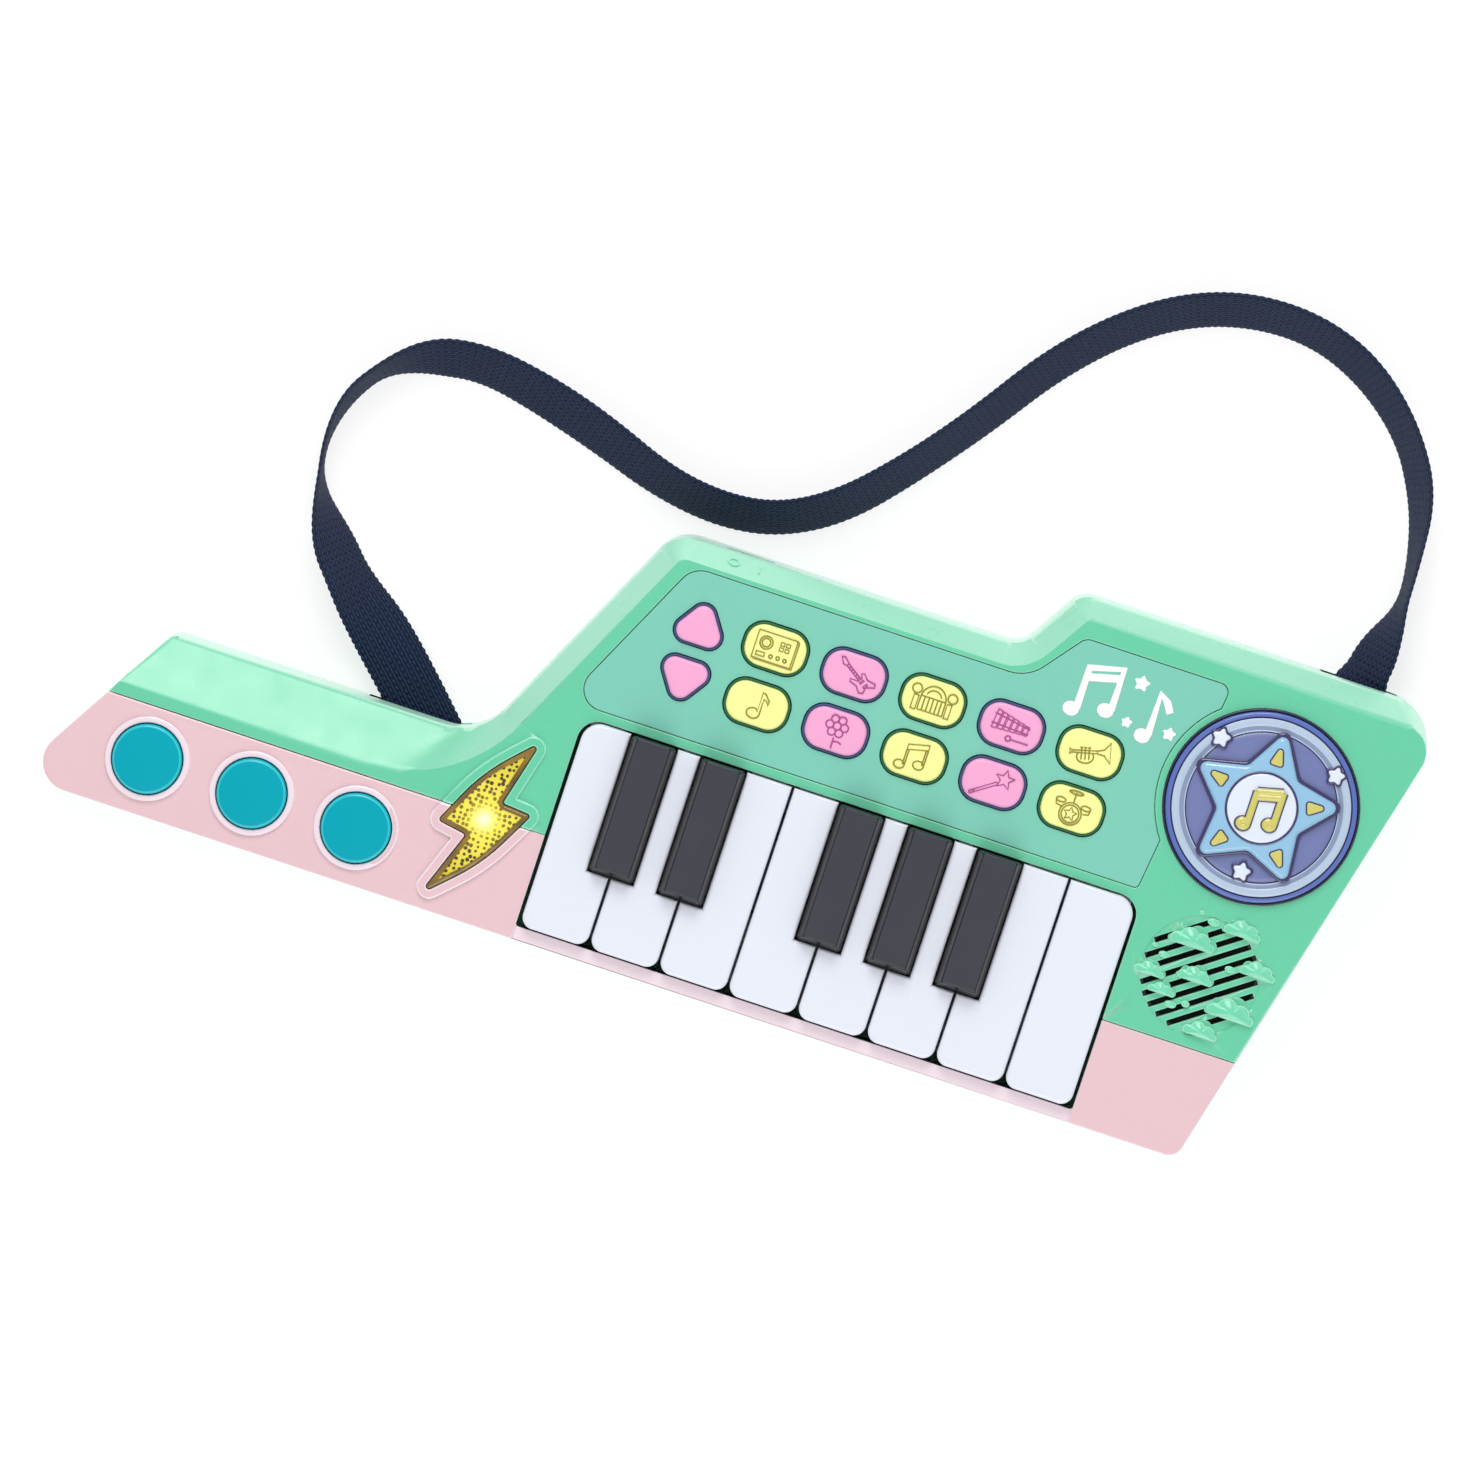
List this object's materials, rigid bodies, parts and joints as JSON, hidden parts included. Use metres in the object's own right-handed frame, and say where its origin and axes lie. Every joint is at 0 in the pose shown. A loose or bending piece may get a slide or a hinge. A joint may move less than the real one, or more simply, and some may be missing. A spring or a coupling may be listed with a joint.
{
  "type": "toy electronic keyboard",
  "caption": "Guitar-shaped toy keyboard with hinged piano keys, push buttons, a round medallion, a bolt-shaped light, a speaker and a woven strap.",
  "frame": {"origin": "under the middle of the case, on the surface it lies on, strap left out", "axes": "+X along the keys towards the speaker, +Y towards the strap side, +Z out of the face"},
  "size_m": [0.424, 0.274, 0.044],
  "materials": {
    "mint_casing": "satin injection-moulded ABS",
    "pink_casing": "satin injection-moulded ABS",
    "panel_plastic": "satin moulded insert",
    "white_key_plastic": "polished ABS",
    "black_key_plastic": "satin ABS",
    "yellow_button_plastic": "satin ABS with dark green rim",
    "pink_button_plastic": "satin ABS with dark blue rim",
    "teal_button_plastic": "polished ABS",
    "medallion_plastic": "satin ABS, painted relief",
    "dark_trim_plastic": "satin ABS",
    "amber_lens": "tinted translucent polycarbonate",
    "inner_plastic": "natural ABS",
    "circuit_board": "laminate",
    "contact_rubber": "silicone",
    "steel": "plated",
    "magnet": "ferrite",
    "speaker_paper": "coated paper cone",
    "battery_wrap": "printed sleeve",
    "strap_webbing": "woven polyester webbing"
  },
  "bodies": {
    "case": {"rear_shell": "mint_casing", "front_shell": "mint_casing", "lower_front_cover": "pink_casing", "control_panel": "panel_plastic", "medallion_ring": "dark_trim_plastic", "bolt_lens": "amber_lens", "battery_door": "mint_casing", "strap": "strap_webbing", "key_chassis": "inner_plastic", "key_hinge_rod": "steel", "key_circuit_board": "circuit_board", "main_circuit_board": "circuit_board", "neck_circuit_board": "circuit_board", "bolt_light_board": "circuit_board", "key_contact_mat": "contact_rubber", "button_contact_mat": "contact_rubber", "neck_contact_mat": "contact_rubber", "medallion_contact_pad": "contact_rubber", "speaker_frame": "steel", "speaker_cone": "speaker_paper", "speaker_magnet": "magnet", "power_switch_body": "inner_plastic", "batteries": "battery_wrap", "battery_contacts": "steel", "battery_door_screw": "steel", "case_screws": "steel", "strap_anchor_bars": "steel"},
    "white_key_1": {"white_key_1": "white_key_plastic"},
    "white_key_2": {"white_key_2": "white_key_plastic"},
    "white_key_3": {"white_key_3": "white_key_plastic"},
    "white_key_4": {"white_key_4": "white_key_plastic"},
    "white_key_5": {"white_key_5": "white_key_plastic"},
    "white_key_6": {"white_key_6": "white_key_plastic"},
    "white_key_7": {"white_key_7": "white_key_plastic"},
    "white_key_8": {"white_key_8": "white_key_plastic"},
    "black_key_1": {"black_key_1": "black_key_plastic"},
    "black_key_2": {"black_key_2": "black_key_plastic"},
    "black_key_3": {"black_key_3": "black_key_plastic"},
    "black_key_4": {"black_key_4": "black_key_plastic"},
    "black_key_5": {"black_key_5": "black_key_plastic"},
    "mode_button_1": {"mode_button_1": "yellow_button_plastic"},
    "mode_button_2": {"mode_button_2": "pink_button_plastic"},
    "mode_button_3": {"mode_button_3": "yellow_button_plastic"},
    "mode_button_4": {"mode_button_4": "pink_button_plastic"},
    "mode_button_5": {"mode_button_5": "yellow_button_plastic"},
    "mode_button_6": {"mode_button_6": "yellow_button_plastic"},
    "mode_button_7": {"mode_button_7": "pink_button_plastic"},
    "mode_button_8": {"mode_button_8": "yellow_button_plastic"},
    "mode_button_9": {"mode_button_9": "pink_button_plastic"},
    "mode_button_10": {"mode_button_10": "yellow_button_plastic"},
    "volume_up_button": {"volume_up_button": "pink_button_plastic"},
    "volume_down_button": {"volume_down_button": "pink_button_plastic"},
    "neck_button_1": {"neck_button_1": "teal_button_plastic"},
    "neck_button_2": {"neck_button_2": "teal_button_plastic"},
    "neck_button_3": {"neck_button_3": "teal_button_plastic"},
    "medallion_button": {"medallion_button": "medallion_plastic"},
    "power_switch_knob": {"power_switch_knob": "black_key_plastic"}
  },
  "joints": [
    {"name": "white_key_1_press", "type": "hinge", "parent": "case", "child": "white_key_1", "pos_m": [-0.0373, 0.0012, 0.029], "axis": [1, 0, 0], "range_deg": [0, 2.2], "stiffness_Nm_per_rad": 0.6, "springref_deg": -2.86},
    {"name": "white_key_2_press", "type": "hinge", "parent": "case", "child": "white_key_2", "pos_m": [-0.0138, 0.0012, 0.029], "axis": [1, 0, 0], "range_deg": [0, 2.2], "stiffness_Nm_per_rad": 0.6, "springref_deg": -2.86},
    {"name": "white_key_3_press", "type": "hinge", "parent": "case", "child": "white_key_3", "pos_m": [0.0097, 0.0012, 0.029], "axis": [1, 0, 0], "range_deg": [0, 2.2], "stiffness_Nm_per_rad": 0.6, "springref_deg": -2.86},
    {"name": "white_key_4_press", "type": "hinge", "parent": "case", "child": "white_key_4", "pos_m": [0.0332, 0.0012, 0.029], "axis": [1, 0, 0], "range_deg": [0, 2.2], "stiffness_Nm_per_rad": 0.6, "springref_deg": -2.86},
    {"name": "white_key_5_press", "type": "hinge", "parent": "case", "child": "white_key_5", "pos_m": [0.0567, 0.0012, 0.029], "axis": [1, 0, 0], "range_deg": [0, 2.2], "stiffness_Nm_per_rad": 0.6, "springref_deg": -2.86},
    {"name": "white_key_6_press", "type": "hinge", "parent": "case", "child": "white_key_6", "pos_m": [0.0802, 0.0012, 0.029], "axis": [1, 0, 0], "range_deg": [0, 2.2], "stiffness_Nm_per_rad": 0.6, "springref_deg": -2.86},
    {"name": "white_key_7_press", "type": "hinge", "parent": "case", "child": "white_key_7", "pos_m": [0.1037, 0.0012, 0.029], "axis": [1, 0, 0], "range_deg": [0, 2.2], "stiffness_Nm_per_rad": 0.6, "springref_deg": -2.86},
    {"name": "white_key_8_press", "type": "hinge", "parent": "case", "child": "white_key_8", "pos_m": [0.1272, 0.0012, 0.029], "axis": [1, 0, 0], "range_deg": [0, 2.2], "stiffness_Nm_per_rad": 0.6, "springref_deg": -2.86},
    {"name": "black_key_1_press", "type": "hinge", "parent": "case", "child": "black_key_1", "pos_m": [-0.02555, 0.0012, 0.029], "axis": [1, 0, 0], "range_deg": [0, 2.5], "stiffness_Nm_per_rad": 0.6, "springref_deg": -2.86},
    {"name": "black_key_2_press", "type": "hinge", "parent": "case", "child": "black_key_2", "pos_m": [-0.00205, 0.0012, 0.029], "axis": [1, 0, 0], "range_deg": [0, 2.5], "stiffness_Nm_per_rad": 0.6, "springref_deg": -2.86},
    {"name": "black_key_3_press", "type": "hinge", "parent": "case", "child": "black_key_3", "pos_m": [0.04495, 0.0012, 0.029], "axis": [1, 0, 0], "range_deg": [0, 2.5], "stiffness_Nm_per_rad": 0.6, "springref_deg": -2.86},
    {"name": "black_key_4_press", "type": "hinge", "parent": "case", "child": "black_key_4", "pos_m": [0.06845, 0.0012, 0.029], "axis": [1, 0, 0], "range_deg": [0, 2.5], "stiffness_Nm_per_rad": 0.6, "springref_deg": -2.86},
    {"name": "black_key_5_press", "type": "hinge", "parent": "case", "child": "black_key_5", "pos_m": [0.09195, 0.0012, 0.029], "axis": [1, 0, 0], "range_deg": [0, 2.5], "stiffness_Nm_per_rad": 0.6, "springref_deg": -2.86},
    {"name": "mode_button_1_press", "type": "slide", "parent": "case", "child": "mode_button_1", "axis": [0, 0, -1], "range_m": [0, 0.0012], "stiffness_N_per_m": 400, "springref_m": -0.002},
    {"name": "mode_button_2_press", "type": "slide", "parent": "case", "child": "mode_button_2", "axis": [0, 0, -1], "range_m": [0, 0.0012], "stiffness_N_per_m": 400, "springref_m": -0.002},
    {"name": "mode_button_3_press", "type": "slide", "parent": "case", "child": "mode_button_3", "axis": [0, 0, -1], "range_m": [0, 0.0012], "stiffness_N_per_m": 400, "springref_m": -0.002},
    {"name": "mode_button_4_press", "type": "slide", "parent": "case", "child": "mode_button_4", "axis": [0, 0, -1], "range_m": [0, 0.0012], "stiffness_N_per_m": 400, "springref_m": -0.002},
    {"name": "mode_button_5_press", "type": "slide", "parent": "case", "child": "mode_button_5", "axis": [0, 0, -1], "range_m": [0, 0.0012], "stiffness_N_per_m": 400, "springref_m": -0.002},
    {"name": "mode_button_6_press", "type": "slide", "parent": "case", "child": "mode_button_6", "axis": [0, 0, -1], "range_m": [0, 0.0012], "stiffness_N_per_m": 400, "springref_m": -0.002},
    {"name": "mode_button_7_press", "type": "slide", "parent": "case", "child": "mode_button_7", "axis": [0, 0, -1], "range_m": [0, 0.0012], "stiffness_N_per_m": 400, "springref_m": -0.002},
    {"name": "mode_button_8_press", "type": "slide", "parent": "case", "child": "mode_button_8", "axis": [0, 0, -1], "range_m": [0, 0.0012], "stiffness_N_per_m": 400, "springref_m": -0.002},
    {"name": "mode_button_9_press", "type": "slide", "parent": "case", "child": "mode_button_9", "axis": [0, 0, -1], "range_m": [0, 0.0012], "stiffness_N_per_m": 400, "springref_m": -0.002},
    {"name": "mode_button_10_press", "type": "slide", "parent": "case", "child": "mode_button_10", "axis": [0, 0, -1], "range_m": [0, 0.0012], "stiffness_N_per_m": 400, "springref_m": -0.002},
    {"name": "volume_up_button_press", "type": "slide", "parent": "case", "child": "volume_up_button", "axis": [0, 0, -1], "range_m": [0, 0.0012], "stiffness_N_per_m": 400, "springref_m": -0.002},
    {"name": "volume_down_button_press", "type": "slide", "parent": "case", "child": "volume_down_button", "axis": [0, 0, -1], "range_m": [0, 0.0012], "stiffness_N_per_m": 400, "springref_m": -0.002},
    {"name": "neck_button_1_press", "type": "slide", "parent": "case", "child": "neck_button_1", "axis": [0, 0, -1], "range_m": [0, 0.0012], "stiffness_N_per_m": 400, "springref_m": -0.002},
    {"name": "neck_button_2_press", "type": "slide", "parent": "case", "child": "neck_button_2", "axis": [0, 0, -1], "range_m": [0, 0.0012], "stiffness_N_per_m": 400, "springref_m": -0.002},
    {"name": "neck_button_3_press", "type": "slide", "parent": "case", "child": "neck_button_3", "axis": [0, 0, -1], "range_m": [0, 0.0012], "stiffness_N_per_m": 400, "springref_m": -0.002},
    {"name": "medallion_button_press", "type": "slide", "parent": "case", "child": "medallion_button", "axis": [0, 0, -1], "range_m": [0, 0.0012], "stiffness_N_per_m": 600, "springref_m": -0.002},
    {"name": "power_switch_slide", "type": "slide", "parent": "case", "child": "power_switch_knob", "axis": [1, 0, 0], "range_m": [0, 0.0087]}
  ]
}
